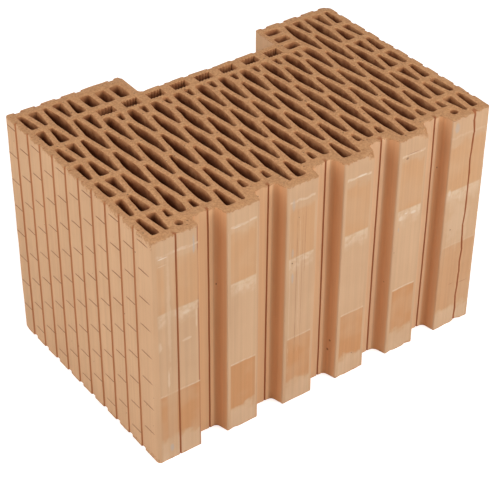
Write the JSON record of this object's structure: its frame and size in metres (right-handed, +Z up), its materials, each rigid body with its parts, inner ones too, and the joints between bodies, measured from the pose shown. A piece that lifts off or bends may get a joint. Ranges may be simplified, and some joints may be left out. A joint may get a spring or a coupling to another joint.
{
  "type": "hollow clay block",
  "caption": "Extruded fired-clay wall block with a lattice of upright diamond holes, tongues and grooves on the front and a mortar pocket in the back.",
  "frame": {"origin": "middle of the bounding box on the bed face that the block stands on", "axes": "+X through the wall along the tongued front face, +Y towards the back face with the mortar pocket, +Z up along the holes"},
  "size_m": [0.38, 0.248, 0.249],
  "materials": {
    "fired_clay": "matte, sandy"
  },
  "bodies": {
    "root": {"clay_block": "fired_clay"}
  },
  "joints": []
}
